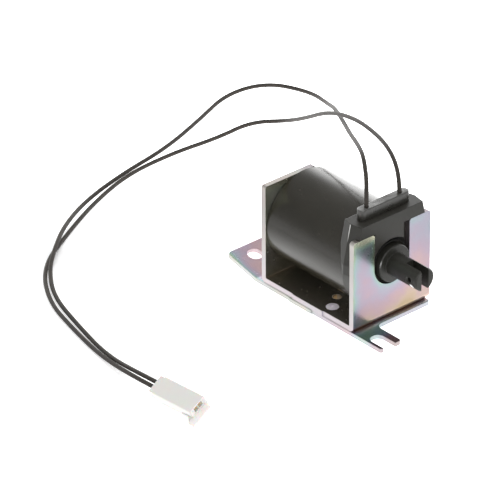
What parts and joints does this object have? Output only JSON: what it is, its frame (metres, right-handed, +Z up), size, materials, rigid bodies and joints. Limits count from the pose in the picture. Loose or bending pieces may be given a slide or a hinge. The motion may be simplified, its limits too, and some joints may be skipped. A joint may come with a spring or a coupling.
{
  "type": "solenoid valve coil",
  "caption": "Open-frame pull solenoid coil for a valve: U-shaped plated frame on a forked mounting plate, taped winding, sliding plunger with clevis, and two leads to a white plug.",
  "frame": {"origin": "underside of the mounting plate, below the plunger's axis, at half the frame's length", "axes": "+X the way the plunger pulls out, +Z up from the mounting surface, -Y the side that the forked tongue is on"},
  "size_m": [0.1725, 0.1808, 0.0607],
  "materials": {
    "plated_steel": "yellow-pink iridescent zinc plating",
    "rivet_steel": "plated, flush",
    "core_steel": "turned",
    "brass": "satin",
    "black_plastic": "satin moulded",
    "copper_wire": "enamelled wire",
    "black_tape": "semi-gloss film tape",
    "plunger_steel": "dark turned steel",
    "solder": "dull solder",
    "black_lead": "satin insulation",
    "white_nylon": "translucent moulded"
  },
  "bodies": {
    "fixed": {"coil_frame": "plated_steel", "mounting_plate": "plated_steel", "frame_rivets": "rivet_steel", "pole_piece": "core_steel", "guide_tube": "brass", "bobbin": "black_plastic", "winding": "copper_wire", "outer_tape": "black_tape", "terminal_cover": "black_plastic", "terminal_near": "brass", "terminal_far": "brass", "solder_near": "solder", "solder_far": "solder", "lead_near": "black_lead", "lead_far": "black_lead", "connector_housing": "white_nylon", "contact_near": "brass", "contact_far": "brass"},
    "washer": {"residual_washer": "brass"},
    "plunger": {"plunger": "plunger_steel"}
  },
  "joints": [
    {"name": "plunger_slide", "type": "slide", "parent": "fixed", "child": "washer", "axis": [1, 0, 0], "range_m": [0, 0.012]},
    {"name": "plunger_spin", "type": "hinge", "parent": "washer", "child": "plunger", "pos_m": [0, 0, 0.0224], "axis": [1, 0, 0], "continuous": true}
  ]
}
